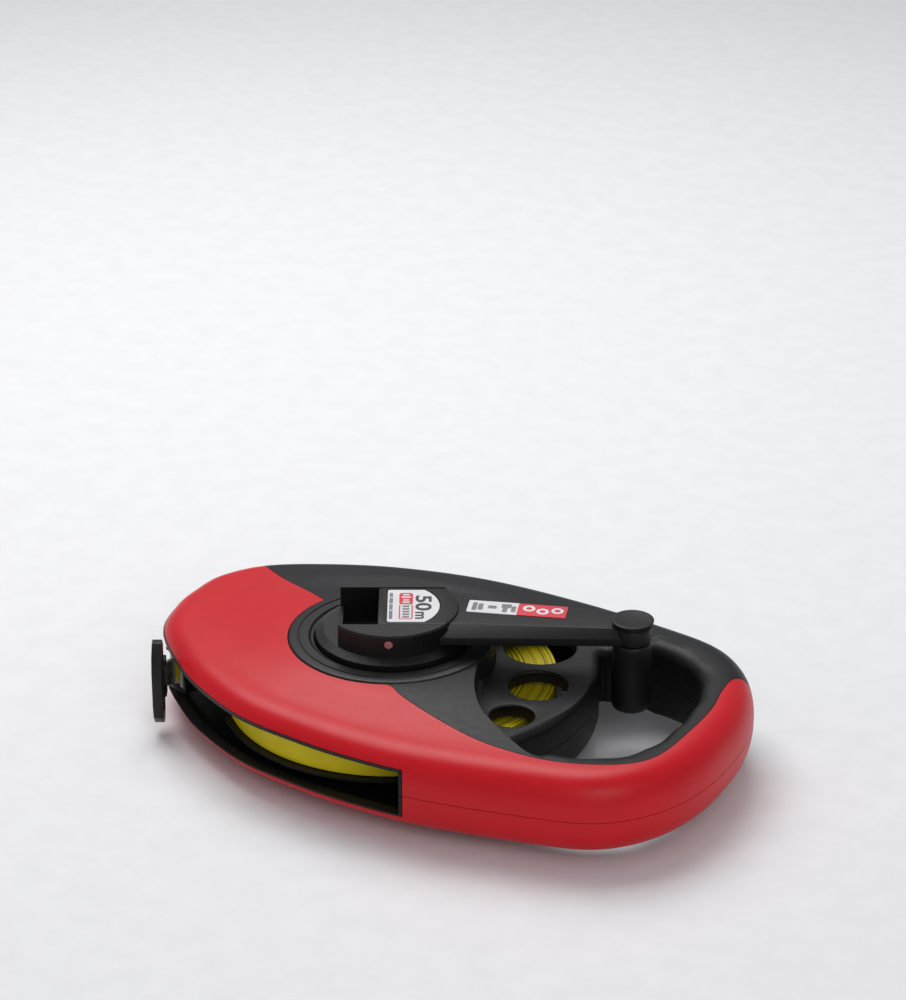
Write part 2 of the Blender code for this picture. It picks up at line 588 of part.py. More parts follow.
def tape_line():
    """Where the tape leaves the full pack, and its direction from there to the ring pin."""
    distance = RING_PIN.length
    leave = math.atan2(RING_PIN.y, RING_PIN.x) - math.acos(PACK_R / distance)
    start = polar(PACK_R + TAPE_THICK / 2, leave)
    return start, (RING_PIN - start).normalized()


def frame_at(point, along):
    """A local frame at a plan point, with x along a direction."""
    return Matrix.Translation((*point, 0)) @ Matrix.Rotation(math.atan2(along.y, along.x), 4, "Z")


def build_mouth():
    _, along = tape_line()
    middle = RING_PIN - along * ROLLER_BACK
    frame = empty("mouth_frame_axes", frame_at(middle, along))
    half, reach, outer_reach, spine = 4.4 * MM, 7.1 * MM, 5.8 * MM, MM
    bracket = box("mouth_bracket", (-half, -outer_reach, BRACKET_LOW),
                  (half, reach, BRACKET_LOW + BRACKET_PLATE), DARK_NYLON, frame)
    top = box("bracket_top", (-half, -outer_reach, BRACKET_HIGH - BRACKET_PLATE),
              (half, reach, BRACKET_HIGH), parent=frame)
    back = box("bracket_spine", (-half + GAP, reach - GAP, BRACKET_LOW + GAP),
               (half - GAP, reach + spine, BRACKET_HIGH - GAP), parent=frame)
    boolean(bracket, back, "UNION")
    boolean(bracket, top, "UNION")
    roller_low, roller_high = BRACKET_LOW + BRACKET_PLATE + GAP, BRACKET_HIGH - BRACKET_PLATE - GAP
    for name, side in (("inner", 1), ("outer", -1)):
        place = (0, side * ROLLER_OUT)
        hole = cylinder(f"{name}_roller_pin_hole", 1.4 * MM, 0, 60 * MM, place, 16, parent=frame)
        boolean(bracket, hole)
        cylinder(f"{name}_roller_pin", 1.1 * MM, BRACKET_LOW + GAP, BRACKET_HIGH - GAP, place, 16,
                 STEEL, frame)
        turned(f"{name}_guide_roller", ring(1.3 * MM, ROLLER_R, roller_low, roller_high), 20, place,
               PALE_NYLON, frame)


def build_tape_end():
    start, along = tape_line()
    frame = empty("tape_line_axes", frame_at(RING_PIN, along))
    length = (RING_PIN - start).length
    half = TAPE_THICK / 2
    box("tape_lead", (-length + 2 * MM, -half, PACK_LOW), (-CLAMP_LENGTH - GAP, half, PACK_HIGH),
        TAPE_YELLOW, frame)
    clamp = box("tape_clamp", (-CLAMP_LENGTH, -CLAMP_THICK / 2, PACK_LOW),
                (-RING_PIN_R, CLAMP_THICK / 2, PACK_HIGH), STEEL, frame)
    barrel = cylinder("clamp_barrel", BARREL_R, PACK_LOW + 0.2 * MM, PACK_HIGH - 0.2 * MM, segments=20,
                      parent=frame)
    bore = cylinder("clamp_bore", RING_PIN_R + RUNNING, 0, 60 * MM, segments=20, parent=frame)
    boolean(clamp, barrel, "UNION")
    boolean(clamp, bore)


def build_end_ring():
    """A stiff loop that stops against the mouth. Its local x runs along the plate, and y points inwards."""
    frame = empty("ring_hinge_axes", frame_at(RING_PIN, MOUTH_ALONG))
    bevel = 2.2 * MM
    plate_side = [(RING_NEAR, RING_LOW + 4 * MM), (RING_NEAR, RING_HIGH - 4 * MM),
                  (RING_NEAR + 3 * MM, RING_HIGH), (RING_FAR - 8 * MM, RING_HIGH),
                  (RING_FAR - bevel, RING_HIGH - 5.5 * MM), (RING_FAR, RING_HIGH - 13 * MM),
                  (RING_FAR, RING_LOW + 13 * MM), (RING_FAR - bevel, RING_LOW + 5.5 * MM),
                  (RING_FAR - 8 * MM, RING_LOW), (RING_NEAR + 3 * MM, RING_LOW)]
    plate = loft("end_ring", [[(x, y, z) for x, z in plate_side] for y in (RING_OUTER, RING_INNER)],
                 DARK_NYLON, frame)
    lug_height = 3.3 * MM
    for name, low in (("lower", PACK_LOW - GAP - lug_height), ("upper", PACK_HIGH + GAP)):
        lug = box(f"ring_{name}_lug", (0.3 * MM - BARREL_R, RING_OUTER + MM, low),
                  (RING_NEAR + 1.2 * MM, BARREL_R, low + lug_height), parent=frame)
        boolean(plate, lug, "UNION")
    window = box("ring_window", (5.5 * MM, -0.05, RING_LOW + 7 * MM), (14 * MM, 0.05, RING_HIGH - 6.5 * MM),
                 parent=frame)
    boolean(plate, window)
    boolean(plate, cylinder("ring_bore", RING_PIN_R + RUNNING, 0, 60 * MM, segments=20, parent=frame))
    lug_out = lug_height - GAP
    cylinder("ring_pin", RING_PIN_R, PACK_LOW - lug_out, PACK_HIGH + lug_out, segments=16, look=STEEL,
             parent=frame)


# ---------------------------------------------------------------- build

build_half("upper")
build_half("lower")
build_screws()
build_hub()
drum_core = build_drum()
hub_face = Matrix.Translation((0, 0, THICKNESS))
head_axes = empty("head_axes", hub_face @ Matrix.Rotation(HEAD_ANGLE, 4, "Z"))
arm_axes = empty("arm_axes", hub_face @ Matrix.Rotation(ARM_ANGLE, 4, "Z"))
build_crank_head(head_axes, drum_core)
build_spindle_screw()
build_arm(head_axes, arm_axes)
build_mouth()
build_tape_end()
build_end_ring()
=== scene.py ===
"""Looks for the closed-case surveyor tape reel: fine shells, materials, labels, floor, light and camera.

The row frame has +Z along the spindle, +X from the spindle to the grip end and z = 0 at the resting face.
"""
import json
import math

import bmesh
import bpy
from mathutils import Matrix, Vector
from mathutils.bvhtree import BVHTree


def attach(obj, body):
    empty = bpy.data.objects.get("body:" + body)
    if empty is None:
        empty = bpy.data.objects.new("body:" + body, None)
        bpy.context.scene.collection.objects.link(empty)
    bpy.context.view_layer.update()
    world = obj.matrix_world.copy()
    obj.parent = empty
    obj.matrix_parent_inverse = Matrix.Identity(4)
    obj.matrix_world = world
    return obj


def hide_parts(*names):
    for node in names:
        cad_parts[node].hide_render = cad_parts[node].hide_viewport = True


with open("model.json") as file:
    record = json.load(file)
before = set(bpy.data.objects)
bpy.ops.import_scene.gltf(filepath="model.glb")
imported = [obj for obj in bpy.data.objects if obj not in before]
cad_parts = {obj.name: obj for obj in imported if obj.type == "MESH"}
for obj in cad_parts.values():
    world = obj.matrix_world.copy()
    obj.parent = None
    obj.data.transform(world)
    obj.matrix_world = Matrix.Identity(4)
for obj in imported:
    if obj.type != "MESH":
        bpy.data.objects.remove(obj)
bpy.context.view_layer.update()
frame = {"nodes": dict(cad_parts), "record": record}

MM = 0.001
MID, THICKNESS = 27 * MM, 54 * MM
GAP = 0.3 * MM

# ---------------------------------------------------------------- case shape, in millimetres
FAR_SIDE = [(-124.3, 0), (-124.5, 14.5), (-121.3, 35), (-106.3, 56.6), (-79, 73.2), (-40.6, 87.8), (7.6, 96),
            (60.8, 94.2), (111, 87), (140, 79.5), (158, 66), (170, 47), (176.5, 24), (178, 0)]
NEAR_SIDE = [(-119.6, -18.3), (-110.7, -32), (-95.4, -47.8), (-73.6, -65.7), (-40, -83.5), (-4.5, -91.5),
             (26, -94.9), (60.3, -94.6), (111, -87), (140, -79.5), (158, -66), (170, -47), (176.5, -24)]
OPENING_HALF = [(92.5, 51), (98.5, 54.8), (108, 57.4), (121, 56), (135, 49.5), (145, 39), (151, 21),
                (152.5, 0)]
OPENING_INNER_R, OPENING_REACH = 101 * MM, math.radians(28)
DISH = [(47, 3), (52.5, -14), (59, -29), (69.5, -43.5), (83, -53), (95, -59), (106, -62.6), (113, -61),
        (118, -45), (112, 30), (99, 57), (78, 66), (56, 62), (42, 45), (40, 24)]
PANEL = [(-20, 5), (10, -42), (23.2, -46), (32, -51), (49, -57.2), (71, -63.8), (88, -67), (112, -67.5),
         (132, -62.5), (149, -53), (158, -39), (161.5, -14), (162.5, 11), (160, 31), (162, 48), (182, 74),
         (120, 130), (0, 140), (-112, 95), (-126, 67), (-106, 54.6), (-89.3, 43.8), (-75.7, 35),
         (-62.8, 27.2), (-47, 18)]
DRAIN_HOLES = [(77.9, -28.3, 10.5), (76.2, 3.9, 14.3), (60.5, 40, 17.5)]
SCREWS = [(-66, 66), (72, 79), (72, -79), (143, 62), (143, -62), (165, 0)]
RIM, EDGE, EDGE_POWER, CROWN = 20 * MM, 16 * MM, 2.5, 6.3 * MM
HUB_R, COVER_WALL, CASE_WALL = 50.2 * MM, 2.2 * MM, 2.2 * MM
DISH_FLOOR = 42 * MM
WINDOW_FROM, WINDOW_TO, WINDOW_HALF = math.radians(162), math.radians(299.8), 12.5 * MM
WINDOW_TRIM, JAMB, BRIM = math.radians(0.17), math.radians(0.69), 1.2 * MM
FLARE, FLARE_FROM, FLARE_RUN, INNER_ROLL = 6.5 * MM, 98 * MM, 15 * MM, 4.5 * MM
SCALLOP, SCALLOP_PITCH = 1.1 * MM, 22 * MM
BELOW, ABOVE = MID - 2 * MM, THICKNESS + 30 * MM

# ---------------------------------------------------------------- crank frame
HUB_FACE = Matrix.Translation((0, 0, THICKNESS))
HEAD = HUB_FACE @ Matrix.Rotation(math.radians(26.5), 4, "Z")
CRANK = HUB_FACE @ Matrix.Rotation(math.radians(17.6), 4, "Z")
CRANK_R = 116.5 * MM
ARM_TOP, BLADE_TOP = 15 * MM, 13.9 * MM


# ---------------------------------------------------------------- materials

def node(tree, kind, **inputs):
    made = tree.nodes.new(kind)
    for key, value in inputs.items():
        made.inputs[key.replace("_", " ")].default_value = value
    return made


def noise(tree, coordinates, scale, detail=3, stretch=None):
    """A noise in metres of the object's own space, stretched when asked."""
    if stretch:
        mapping = tree.nodes.new("ShaderNodeMapping")
        mapping.inputs["Scale"].default_value = stretch
        tree.links.new(coordinates, mapping.inputs["Vector"])
        coordinates = mapping.outputs["Vector"]
    made = node(tree, "ShaderNodeTexNoise", Scale=scale, Detail=detail)
    tree.links.new(coordinates, made.inputs["Vector"])
    return made.outputs["Fac"]


def remap(tree, value, low, high, from_low=0.35, from_high=0.65):
    made = node(tree, "ShaderNodeMapRange", From_Min=from_low, From_Max=from_high, To_Min=low, To_Max=high)
    tree.links.new(value, made.inputs["Value"])
    return made.outputs["Result"]


def blend_colours(tree, factor, first, second):
    made = tree.nodes.new("ShaderNodeMix")
    made.data_type = "RGBA"
    made.inputs["A"].default_value = (*first, 1)
    made.inputs["B"].default_value = (*second, 1)
    tree.links.new(factor, made.inputs["Factor"])
    return made.outputs["Result"]


def surface(name, first, second, rough, grain=0.0, grain_scale=2500, metallic=0.0, coat=0.0, stretch=None,
            patch_scale=60, specular=0.5):
    """A material whose colour and roughness drift between two values, with a fine grain in its normal."""
    material = bpy.data.materials.new(name)
    material.use_nodes = True
    tree = material.node_tree
    shader = tree.nodes["Principled BSDF"]
    shader.inputs["Metallic"].default_value = metallic
    shader.inputs["Coat Weight"].default_value = coat
    shader.inputs["Specular IOR Level"].default_value = specular
    coordinates = tree.nodes.new("ShaderNodeTexCoord").outputs["Object"]
    patches = noise(tree, coordinates, patch_scale, 4, stretch)
    tree.links.new(blend_colours(tree, remap(tree, patches, 0, 1), first, second), shader.inputs["Base Color"])
    wear = noise(tree, coordinates, patch_scale * 6, 3, stretch)
    tree.links.new(remap(tree, wear, *rough), shader.inputs["Roughness"])
    if grain:
        bump = node(tree, "ShaderNodeBump", Strength=grain, Distance=0.0002)
        tree.links.new(noise(tree, coordinates, grain_scale, 2), bump.inputs["Height"])
        tree.links.new(bump.outputs["Normal"], shader.inputs["Normal"])
    return material


def wound_tape(name):
    """Yellow paint on the outer turn, and dark gaps between the turns on the two faces of the pack."""
    material = surface(name, (0.66, 0.52, 0.003), (0.72, 0.57, 0.005), (0.4, 0.5), 0.15, 1800, patch_scale=90, specular=0.25)
    tree = material.node_tree
    shader = tree.nodes["Principled BSDF"]
    paint = shader.inputs["Base Color"].links[0].from_socket
    geometry = tree.nodes.new("ShaderNodeNewGeometry")
    coordinates = tree.nodes.new("ShaderNodeTexCoord").outputs["Object"]
    split = tree.nodes.new("ShaderNodeSeparateXYZ")
    tree.links.new(coordinates, split.inputs["Vector"])
    flat = tree.nodes.new("ShaderNodeCombineXYZ")
    tree.links.new(split.outputs["X"], flat.inputs["X"])
    tree.links.new(split.outputs["Y"], flat.inputs["Y"])
    radius = tree.nodes.new("ShaderNodeVectorMath")
    radius.operation = "LENGTH"
    tree.links.new(flat.outputs["Vector"], radius.inputs[0])
    along = tree.nodes.new("ShaderNodeCombineXYZ")
    tree.links.new(radius.outputs["Value"], along.inputs["X"])
    turns = node(tree, "ShaderNodeTexNoise", Scale=900, Detail=4, Roughness=0.7)
    tree.links.new(along.outputs["Vector"], turns.inputs["Vector"])
    lines = remap(tree, turns.outputs["Fac"], 0.05, 1, 0.4, 0.56)
    facing = tree.nodes.new("ShaderNodeSeparateXYZ")
    tree.links.new(geometry.outputs["Normal"], facing.inputs["Vector"])
    upright = tree.nodes.new("ShaderNodeMath")
    upright.operation = "ABSOLUTE"
    tree.links.new(facing.outputs["Z"], upright.inputs[0])
    on_face = tree.nodes.new("ShaderNodeMath")
    on_face.operation = "GREATER_THAN"
    on_face.inputs[1].default_value = 0.7
    tree.links.new(upright.outputs["Value"], on_face.inputs[0])
    dark = blend_colours(tree, lines, (0.03, 0.025, 0.003), (0.64, 0.51, 0.005))
    mix = tree.nodes.new("ShaderNodeMix")
    mix.data_type = "RGBA"
    tree.links.new(on_face.outputs["Value"], mix.inputs["Factor"])
    tree.links.new(paint, mix.inputs["A"])
    tree.links.new(dark, mix.inputs["B"])
    tree.links.new(mix.outputs["Result"], shader.inputs["Base Color"])
    return material


RED = surface("red_shell", (0.56, 0.003, 0.010), (0.585, 0.004, 0.012), (0.36, 0.40), 0.08, 3000, specular=0.28)
BLACK = surface("black_shell", (0.006, 0.006, 0.0065), (0.0075, 0.0075, 0.008), (0.42, 0.48), 0.1, 3000, specular=0.26)
SATIN = surface("black_satin", (0.005, 0.005, 0.0055), (0.0065, 0.0065, 0.007), (0.36, 0.42), 0.06, 3200, specular=0.3)
NYLON = surface("pale_nylon", (0.42, 0.4, 0.35), (0.5, 0.48, 0.43), (0.4, 0.55), 0.1, 2500)
DARK = surface("dark_nylon", (0.012, 0.012, 0.013), (0.018, 0.018, 0.019), (0.35, 0.5), 0.15, 2500)
STEEL = surface("turned_steel", (0.5, 0.49, 0.48), (0.62, 0.61, 0.6), (0.26, 0.32), 0.0, metallic=1.0, patch_scale=25)
YELLOW = surface("tape_paint", (0.66, 0.52, 0.003), (0.72, 0.57, 0.005), (0.4, 0.5), 0.1, 2000, specular=0.3)
WOUND = wound_tape("wound_tape")
WHITE = surface("label_white", (0.68, 0.67, 0.68), (0.75, 0.74, 0.75), (0.3, 0.4), 0.05, 2500)
LABEL_RED = surface("label_red", (0.62, 0.02, 0.045), (0.68, 0.03, 0.055), (0.3, 0.4), 0.05, 2500)
LABEL_GREY = surface("label_grey", (0.16, 0.16, 0.17), (0.22, 0.22, 0.23), (0.35, 0.45), 0.05, 2500)
INK = surface("label_ink", (0.015, 0.015, 0.017), (0.025, 0.025, 0.027), (0.4, 0.5), 0.05, 2500)


# ---------------------------------------------------------------- meshes

def piece(name, mesh, material, body, replaces=(), smooth=35, place=None):
    made = bpy.data.objects.new(name, mesh)
    bpy.context.scene.collection.objects.link(made)
    if place:
        made.matrix_world = place
    if material:
        mesh.materials.clear()
        mesh.materials.append(material)
    mesh.shade_smooth()
    mesh.set_sharp_from_angle(angle=math.radians(smooth))
    if body:
        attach(made, body)
    if replaces:
        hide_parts(*replaces)
    return made


def mesh_from(name, bm):
    bmesh.ops.recalc_face_normals(bm, faces=bm.faces)
    mesh = bpy.data.meshes.new(name)
    bm.to_mesh(mesh)
    bm.free()
    return mesh


def loft(name, rings, caps=True):
    bm = bmesh.new()
    loops = [[bm.verts.new(point) for point in ring] for ring in rings]
    count = len(loops[0])
    for low, high in zip(loops, loops[1:]):
        for i in range(count):
            j = (i + 1) % count
            bm.faces.new((low[i], low[j], high[j], high[i]))
    if caps:
        bm.faces.new(loops[0])
        bm.faces.new(loops[-1])
    return mesh_from(name, bm)


def turned(name, profile, segments=96, centre=(0, 0)):
    """A closed profile of (radius, height) points turned about a vertical axis."""
    bm = bmesh.new()
    columns = []
    for step in range(segments):
        angle = math.tau * step / segments
        columns.append([
            bm.verts.new((centre[0] + r * math.cos(angle), centre[1] + r * math.sin(angle), z)) for r, z in profile
        ])
    count = len(profile)
    for a, b in zip(columns, columns[1:] + columns[:1]):
        for i in range(count):
            j = (i + 1) % count
            if profile[i][0] > 0 or profile[j][0] > 0:
                bm.faces.new((a[i], a[j], b[j], b[i]))
    bmesh.ops.remove_doubles(bm, verts=bm.verts, dist=1e-7)
    return mesh_from(name, bm)


def prism(name, outline, low, high):
    return loft(name, [at_height(outline, low), at_height(outline, high)])


def boxed(name, low, high, bevel=0.0):
    low, high = Vector(low), Vector(high)
    bm = bmesh.new()
    bmesh.ops.create_cube(
        bm, matrix=Matrix.Translation((low + high) / 2) @ Matrix.Diagonal((*(high - low), 1))
    )
    if bevel:
        bmesh.ops.bevel(bm, geom=bm.edges, offset=bevel, segments=3, profile=0.5, affect="EDGES")
    return mesh_from(name, bm)


def cut(mesh, cutters, operation="DIFFERENCE"):
    """The mesh with the cutter meshes taken away, or joined on."""
    target = bpy.data.objects.new("target", mesh)
    bpy.context.scene.collection.objects.link(target)
    helpers = []
    for cutter in cutters:
        helper = bpy.data.objects.new("cutter", cutter)
        bpy.context.scene.collection.objects.link(helper)
        helpers.append(helper)
        modifier = target.modifiers.new("cut", "BOOLEAN")
        modifier.operation = operation
        modifier.object = helper
        modifier.solver = "MANIFOLD"
    bpy.context.view_layer.update()
    result = bpy.data.meshes.new_from_object(target.evaluated_get(bpy.context.evaluated_depsgraph_get()))
    for helper in helpers + [target]:
        bpy.data.objects.remove(helper, do_unlink=True)
    return result


def mirrored(mesh):
    """A copy turned over in the parting plane."""
    made = mesh.copy()
    made.transform(Matrix.Translation((0, 0, THICKNESS)) @ Matrix.Diagonal((1, 1, -1, 1)))
    made.flip_normals()
    return made


def smooth_loop(points, steps, cyclic=True):
    curve = []
    count = len(points)
    for i in range(count):
        a, b, c, d = (Vector(points[(i + k) % count]) for k in (-1, 0, 1, 2))
        for k in range(steps):
            t = k / steps
            curve.append(0.5 * MM * (2 * b + (c - a) * t + (2 * a - 5 * b + 4 * c - d) * t**2
                                     + (3 * b - a - 3 * c + d) * t**3))
    return curve


def inward(loop, distance):
    """A clockwise loop moved inwards by a distance, or by one distance a point."""
    distances = distance if isinstance(distance, list) else [distance] * len(loop)
    moved = []
    for before, point, after, amount in zip(loop[-1:] + loop[:-1], loop, loop[1:] + loop[:1], distances):
        along = (after - before).normalized()
        moved.append(point - amount * Vector((-along.y, along.x)))
    return moved


def at_height(loop, z):
    return [(point.x, point.y, z) for point in loop]


def polar(radius, angle):
    return Vector((radius * math.cos(angle), radius * math.sin(angle)))


def arc(radius, start, end, count, centre=(0, 0)):
    return [Vector(centre) + polar(radius, start + (end - start) * i / (count - 1)) for i in range(count)]


# ---------------------------------------------------------------- case shells

OUTLINE = smooth_loop(FAR_SIDE + NEAR_SIDE[::-1], 10)


def case_form(name, inset, base, rows=12, crown_rows=12):
    rings = [at_height(inward(OUTLINE, inset), base)]
    for row in range(1, rows + 1):
        angle = math.pi / 2 * row / rows
        across = (EDGE - inset) * (1 - max(math.cos(angle), 0) ** (2 / EDGE_POWER))
        up = (RIM - inset) * math.sin(angle) ** (2 / EDGE_POWER)
        rings.append(at_height(inward(OUTLINE, inset + across), MID + up))
    edge = inward(OUTLINE, EDGE)
    hub = [(HUB_R - 3 * MM) * point.normalized() for point in edge]
    for row in range(1, crown_rows + 1):
        t = row / crown_rows
        rise = MID + RIM - inset + CROWN * (3 * t**2 - 2 * t**3)
        rings.append(at_height([point.lerp(target, t) for point, target in zip(edge, hub)], rise))
    return loft(name, rings)


def surface_heights(points):
    """How high the outer form stands over plan points."""
    form = case_form("height_probe", 0, BELOW)
    tree = BVHTree.FromPolygons([vertex.co for vertex in form.vertices], [face.vertices for face in form.polygons])
    hits = [tree.ray_cast(Vector((point.x, point.y, 1)), Vector((0, 0, -1)))[0] for point in points]
    return [hit.z if hit else MID + RIM for hit in hits]


def opening(name, grow, low, high):
    """The hand opening with its rounded mouth, and finger scallops along the grip."""
    drum_side = [tuple(point / MM) for point in arc(OPENING_INNER_R, -OPENING_REACH, OPENING_REACH, 6)]
    grip_side = OPENING_HALF + [(x, -y) for x, y in OPENING_HALF[-2::-1]]
    outline = smooth_loop(drum_side + grip_side, 10)
    length, scallops = 0.0, []
    for before, point in zip(outline[-1:] + outline[:-1], outline):
        length += (point - before).length
        share = min(max((point.x - 112 * MM) / (20 * MM), 0), 1)
        scallops.append(-SCALLOP * share * (0.5 - 0.5 * math.cos(math.tau * length / SCALLOP_PITCH)))
    shares = [min(max((point.x - FLARE_FROM) / FLARE_RUN, 0), 1) for point in outline]

    rolls = [INNER_ROLL + (FLARE - INNER_ROLL) * share for share in shares]

    def spread(part, groove):
        return inward(outline, [scallop * groove - grow - part * roll for scallop, roll in zip(scallops, rolls)])

    tops = [DISH_FLOOR + share * (height - DISH_FLOOR)
            for share, height in zip(shares, surface_heights(spread(1, 1)))]
    rings = [at_height(spread(0, 0), low)]
    steps = 8
    for step in range(steps + 1):
        angle = math.pi / 2 * step / steps
        rings.append([(point.x, point.y, top - roll * (1 - math.sin(angle)))
                      for point, top, roll in zip(spread(1 - math.cos(angle), math.sin(angle)), tops, rolls)])
    rings.append([(point.x, point.y, top + MM) for point, top in zip(spread(1.5, 1), tops)])
    rings.append(at_height(spread(1.5, 1), high))
    return loft(name, rings)


def outline_of(points, distance):
    return inward(smooth_loop(points, 8), distance)


def window(name, half, trim=0.0):
    start, end = WINDOW_FROM + trim, WINDOW_TO - trim
    inner = arc(76 * MM, start, end, 40)
    outer = arc(170 * MM, end, start, 40)
    return prism(name, inner + outer, MID - half, MID + half)


def drum(name, radius, low, high, centre=(0, 0), segments=96):
    return turned(name, [(0, low), (radius, low), (radius, high), (0, high)], segments, centre)


def dish_cutter():
    """A flat recess with a small fillet round its floor."""
    rings = []
    for inset, z in ((2.6, 0), (1.3, 0.35), (0.5, 1.1), (0.1, 2.4), (-0.5, 14), (-1.5, 40)):
        rings.append(at_height(outline_of(DISH, -inset * MM), DISH_FLOOR + z * MM))
    return loft("dish", rings)


def drain_cutter(x, y, radius):
    """A drain hole whose upper edge is rounded."""
    edge = 1.1 * MM
    profile = [(0, BELOW), (radius * MM, BELOW), (radius * MM, DISH_FLOOR - edge)]
    for step in range(1, 6):
        angle = math.pi / 2 * step / 5
        profile.append((radius * MM + edge * (1 - math.cos(angle)), DISH_FLOOR - edge + edge * math.sin(angle)))
    profile += [(radius * MM + edge, DISH_FLOOR + 2 * MM), (0, DISH_FLOOR + 2 * MM)]
    return turned("drain", profile, 64, (x * MM, y * MM))


def build_shells():
    inner = COVER_WALL + GAP + CASE_WALL
    cavity = cut(case_form("cavity", inner, BELOW, 8, 6), [
        opening("opening_wall", 2.4 * MM, BELOW - MM, ABOVE),
        prism("dish_wall", outline_of(DISH, CASE_WALL), DISH_FLOOR - CASE_WALL, ABOVE),
    ])
    recess = cut(boxed("recess", (-0.2, -0.2, BELOW), (0.25, 0.2, ABOVE)), [
        prism("panel", outline_of(PANEL, -GAP / 2), BELOW - MM, ABOVE + MM),
        case_form("case_face", COVER_WALL + GAP, BELOW - MM, 10, 10),
        window("brim", WINDOW_HALF - GAP, WINDOW_TRIM),
    ])
    hub_hole = drum("hub_hole", HUB_R + GAP, BELOW, ABOVE)
    case = cut(case_form("case_shell", 0, MID + GAP / 2), [
        recess, cavity, hub_hole.copy(), opening("opening", 0, BELOW, ABOVE), dish_cutter(),
        window("case_window", WINDOW_HALF - GAP - BRIM, WINDOW_TRIM + JAMB), *[drain_cutter(*hole) for hole in DRAIN_HOLES],
    ])
    cover = cut(case_form("cover_shell", 0, MID + GAP / 2), [
        prism("panel_gap", outline_of(PANEL, GAP / 2), BELOW, ABOVE),
        case_form("cover_inside", COVER_WALL, BELOW, 8, 8), hub_hole, window("cover_window", WINDOW_HALF),
    ])
    sinks = [drum("sink", 3.6 * MM, -ABOVE, 12 * MM, (x * MM, y * MM), 40) for x, y in SCREWS]
    shanks = [drum("shank", 1.8 * MM, -ABOVE, MID + 5 * MM, (x * MM, y * MM), 24) for x, y in SCREWS]
    lower_case = cut(mirrored(case), [mesh.copy() for mesh in sinks + shanks])
    lower_cover = cut(mirrored(cover), sinks)
    piece("upper_case_shell", case, BLACK, "case", ("upper_case",))
    piece("lower_case_shell", lower_case, BLACK, "case", ("lower_case",))
    piece("upper_cover_shell", cover, RED, "case", ("upper_cover",))
    piece("lower_cover_shell", lower_cover, RED, "case", ("lower_cover",))
    for x, y in SCREWS:
        boss = turned("boss", [(1.8 * MM, 12.4 * MM), (3.8 * MM, 12.4 * MM), (3.8 * MM, 26.8 * MM),
                               (1.8 * MM, 26.8 * MM)], 32, (x * MM, y * MM))
        index = SCREWS.index((x, y)) + 1
        piece(f"lower_boss_{index}", boss, BLACK, "case")


def build_drain_shade_tubes():
    """Short black tubes under the upper dish beside the drain holes: dark pieces that stand in for the shade seen on
    the tape inside the holes.
    """
    for index, (x, y, radius) in enumerate(DRAIN_HOLES, 1):
        profile = [(radius, 36), (radius + 1.2, 36), (radius + 1.2, 40.5), (radius, 40.5)]
        mesh = turned("drain_shade_tube", [(r * MM, z * MM) for r, z in profile], 64, (x * MM, y * MM))
        # a black tube put where the holes show shade round the tape, standing in for that painted shade
        piece(f"drain_shade_tube_{index}", mesh, SATIN, "case")


def build_window_liner():
    """The black lip of the inner case that shows under the upper cover's edge, and its turn at the window's end."""
    shell = [point for point in OUTLINE
             if WINDOW_FROM + 0.01 < math.atan2(point.y, point.x) % math.tau < WINDOW_TO + 0.005]
    shell.sort(key=lambda point: math.atan2(point.y, point.x) % math.tau)
    height = MID + WINDOW_HALF
    across = (EDGE) * (1 - (1 - (WINDOW_HALF / RIM) ** EDGE_POWER) ** (1 / EDGE_POWER))
    rings = []
    for before, point, after in zip(shell[:1] + shell[:-1], shell, shell[1:] + shell[-1:]):
        along = (after - before).normalized()
        out = Vector((along.y, -along.x))
        face = point - out * across
        section = ((0.5, -0.25), (0.5, -1.5), (-3.2, -1.5), (-3.2, -0.25))
        rings.append([(*(face + out * r * MM), height + z * MM) for r, z in section])
    piece("window_liner", loft("window_liner", rings), SATIN, "case")


# ---------------------------------------------------------------- hub covers, drum and tape

def build_hub():
    top = THICKNESS
    profile = [(37.4, 44), (48, 44), (48, 37.5), (54.7, 37.5), (54.7, 39.5), (50.2, 39.5), (50.2, 52.7),
               (50.0, 53.3), (49.5, 53.75), (48.9, 53.9), (45.8, 53.95), (45.5, 53.5), (44.9, 53.5), (44.6, 53.95),
               (40.4, 54), (40.0, 53.7), (39.6, 53.1), (39.3, 52.9), (38.0, 52.9), (37.4, 52.4)]
    piece("hub_ring_fine", turned("hub_ring_fine", [(r * MM, z * MM) for r, z in profile], 160), SATIN, "case",
          ("hub_cover_ring",))
    lower = [(0, 0), (44, 0), (44.3, 0.35), (45, 0.35), (45.3, 0), (48.9, 0), (49.7, 0.3), (50.1, 0.9), (50.2, 1.6),
             (50.2, 14.5), (54.7, 14.5), (54.7, 16.5), (48, 16.5), (48, 3.6), (9.5, 3.6), (9.5, 14), (5.2, 14),
             (5.2, 4), (0, 4)]
    piece("lower_hub_fine", turned("lower_hub_fine", [(r * MM, z * MM) for r, z in lower], 160), SATIN, "case",
          ("lower_hub_cover",))


def build_tape():
    """The wound pack: its faces are slightly uneven where the turns have shifted."""
    inner, outer, low, high = 21.3, 80.0, 20.5, 33.5
    steps = 60
    radii = [inner + (outer - inner) * i / steps for i in range(steps + 1)]

    def shift(r):
        return -0.22 * abs(math.sin(1.7 * r) * math.sin(0.53 * r + 1))

    profile = [(r, low - shift(r)) for r in radii]
    profile += [(r, high + shift(r)) for r in reversed(radii)]
    mesh = turned("tape_pack_fine", [(r * MM, z * MM) for r, z in profile], 192)
    piece("tape_pack_fine", mesh, WOUND, "drum", ("tape_pack",), smooth=50)


# ---------------------------------------------------------------- crank

